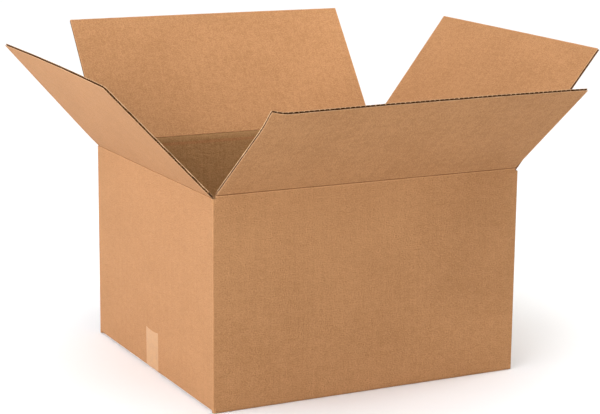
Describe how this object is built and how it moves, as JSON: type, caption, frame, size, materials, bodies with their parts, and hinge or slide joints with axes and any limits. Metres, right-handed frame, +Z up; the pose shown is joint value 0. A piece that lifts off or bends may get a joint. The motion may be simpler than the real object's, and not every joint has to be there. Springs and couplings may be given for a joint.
{
  "type": "open corrugated shipping box",
  "caption": "Rectangular slotted box of fluted board, taped under its bottom seam, with hinged flaps around an open top.",
  "frame": {"origin": "middle of the underside, on the surface that the box stands on", "axes": "+Z up out of the open top, +X along the box's length to its right end, +Y from the front wall towards the back wall"},
  "size_m": [0.8252, 0.7826, 0.5132],
  "materials": {
    "kraft_board": "matte",
    "kraft_fluted": "matte",
    "tape": "satin"
  },
  "bodies": {
    "box": {"box_body": "kraft_board", "bottom_tape": "tape"},
    "front_flap": {"flap_front": "kraft_fluted"},
    "back_flap": {"flap_back": "kraft_fluted"},
    "left_flap": {"flap_left": "kraft_fluted"},
    "right_flap": {"flap_right": "kraft_fluted"}
  },
  "joints": [
    {"name": "front_flap_fold", "type": "hinge", "parent": "box", "child": "front_flap", "pos_m": [0, -0.2324, 0.3248], "axis": [-1, 0, 0], "range_deg": [-124, 141]},
    {"name": "back_flap_fold", "type": "hinge", "parent": "box", "child": "back_flap", "pos_m": [0, 0.2324, 0.3248], "axis": [1, 0, 0], "range_deg": [-138.5, 126.5]},
    {"name": "left_flap_fold", "type": "hinge", "parent": "box", "child": "left_flap", "pos_m": [-0.2578, 0, 0.3208], "axis": [0, 1, 0], "range_deg": [-130.5, 134.5]},
    {"name": "right_flap_fold", "type": "hinge", "parent": "box", "child": "right_flap", "pos_m": [0.2578, 0, 0.3208], "axis": [0, -1, 0], "range_deg": [-135.5, 129.5]}
  ]
}
